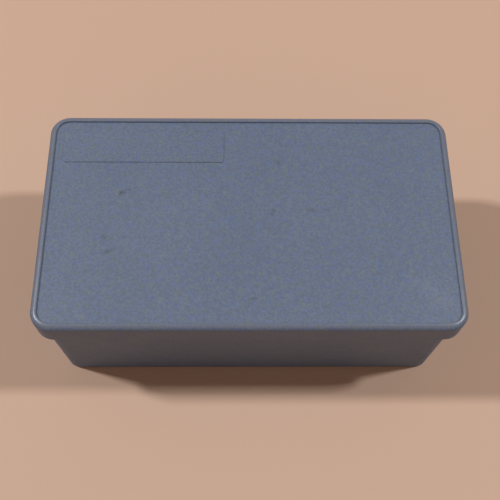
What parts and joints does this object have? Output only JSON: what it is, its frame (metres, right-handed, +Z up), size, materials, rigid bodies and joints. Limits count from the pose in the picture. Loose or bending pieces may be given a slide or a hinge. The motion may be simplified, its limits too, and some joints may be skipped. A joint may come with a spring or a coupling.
{
  "type": "bobbin box",
  "caption": "Low rectangular moulded case with a raised rim round its overhanging hinged lid, holding a lift-out tray of pegs with wound bobbins.",
  "frame": {"origin": "on the table, under the middle of the whole closed box, hinge knuckles included", "axes": "+X along the box to its right end, +Y to the hinge side, +Z up"},
  "size_m": [0.14, 0.0847, 0.051],
  "materials": {
    "case_plastic": "moulded, satin",
    "pin_steel": "drawn wire",
    "tray_plastic": "moulded, satin",
    "bobbin_steel": "pressed and nickel plated",
    "thread_black": "wound mercerised cotton",
    "thread_coral": "wound mercerised cotton",
    "thread_cream": "wound mercerised cotton",
    "thread_green": "wound mercerised cotton",
    "thread_navy": "wound mercerised cotton",
    "thread_ochre": "wound mercerised cotton",
    "thread_red": "wound mercerised cotton",
    "thread_violet": "wound mercerised cotton"
  },
  "bodies": {
    "case": {"case_base": "case_plastic", "hinge_pin_left": "pin_steel", "hinge_pin_right": "pin_steel"},
    "lid": {"case_lid": "case_plastic"},
    "tray": {"peg_tray": "tray_plastic"},
    "reel_01": {"bobbin_01": "bobbin_steel", "thread_01": "thread_red"},
    "reel_02": {"bobbin_02": "bobbin_steel", "thread_02": "thread_navy"},
    "reel_03": {"bobbin_03": "bobbin_steel", "thread_03": "thread_cream"},
    "reel_04": {"bobbin_04": "bobbin_steel"},
    "reel_05": {"bobbin_05": "bobbin_steel", "thread_05": "thread_ochre"},
    "reel_06": {"bobbin_06": "bobbin_steel", "thread_06": "thread_black"},
    "reel_07": {"bobbin_07": "bobbin_steel"},
    "reel_08": {"bobbin_08": "bobbin_steel", "thread_08": "thread_coral"},
    "reel_09": {"bobbin_09": "bobbin_steel", "thread_09": "thread_red"},
    "reel_10": {"bobbin_10": "bobbin_steel", "thread_10": "thread_navy"},
    "reel_11": {"bobbin_11": "bobbin_steel", "thread_11": "thread_cream"},
    "reel_12": {"bobbin_12": "bobbin_steel", "thread_12": "thread_green"},
    "reel_13": {"bobbin_13": "bobbin_steel"},
    "reel_14": {"bobbin_14": "bobbin_steel", "thread_14": "thread_black"},
    "reel_15": {"bobbin_15": "bobbin_steel", "thread_15": "thread_violet"}
  },
  "joints": [
    {"name": "lid_hinge", "type": "hinge", "parent": "case", "child": "lid", "pos_m": [0, 0.04015, 0.0418], "axis": [-1, 0, 0], "range_deg": [0, 105]},
    {"name": "tray_lift", "type": "slide", "parent": "case", "child": "tray", "axis": [0, 0, 1], "range_m": [0, 0.027]},
    {"name": "reel_01_lift", "type": "slide", "parent": "tray", "child": "reel_01", "axis": [0, 0, 1], "range_m": [0, 0.013]},
    {"name": "reel_02_lift", "type": "slide", "parent": "tray", "child": "reel_02", "axis": [0, 0, 1], "range_m": [0, 0.013]},
    {"name": "reel_03_lift", "type": "slide", "parent": "tray", "child": "reel_03", "axis": [0, 0, 1], "range_m": [0, 0.013]},
    {"name": "reel_04_lift", "type": "slide", "parent": "tray", "child": "reel_04", "axis": [0, 0, 1], "range_m": [0, 0.013]},
    {"name": "reel_05_lift", "type": "slide", "parent": "tray", "child": "reel_05", "axis": [0, 0, 1], "range_m": [0, 0.013]},
    {"name": "reel_06_lift", "type": "slide", "parent": "tray", "child": "reel_06", "axis": [0, 0, 1], "range_m": [0, 0.013]},
    {"name": "reel_07_lift", "type": "slide", "parent": "tray", "child": "reel_07", "axis": [0, 0, 1], "range_m": [0, 0.013]},
    {"name": "reel_08_lift", "type": "slide", "parent": "tray", "child": "reel_08", "axis": [0, 0, 1], "range_m": [0, 0.013]},
    {"name": "reel_09_lift", "type": "slide", "parent": "tray", "child": "reel_09", "axis": [0, 0, 1], "range_m": [0, 0.013]},
    {"name": "reel_10_lift", "type": "slide", "parent": "tray", "child": "reel_10", "axis": [0, 0, 1], "range_m": [0, 0.013]},
    {"name": "reel_11_lift", "type": "slide", "parent": "tray", "child": "reel_11", "axis": [0, 0, 1], "range_m": [0, 0.013]},
    {"name": "reel_12_lift", "type": "slide", "parent": "tray", "child": "reel_12", "axis": [0, 0, 1], "range_m": [0, 0.013]},
    {"name": "reel_13_lift", "type": "slide", "parent": "tray", "child": "reel_13", "axis": [0, 0, 1], "range_m": [0, 0.013]},
    {"name": "reel_14_lift", "type": "slide", "parent": "tray", "child": "reel_14", "axis": [0, 0, 1], "range_m": [0, 0.013]},
    {"name": "reel_15_lift", "type": "slide", "parent": "tray", "child": "reel_15", "axis": [0, 0, 1], "range_m": [0, 0.013]}
  ]
}
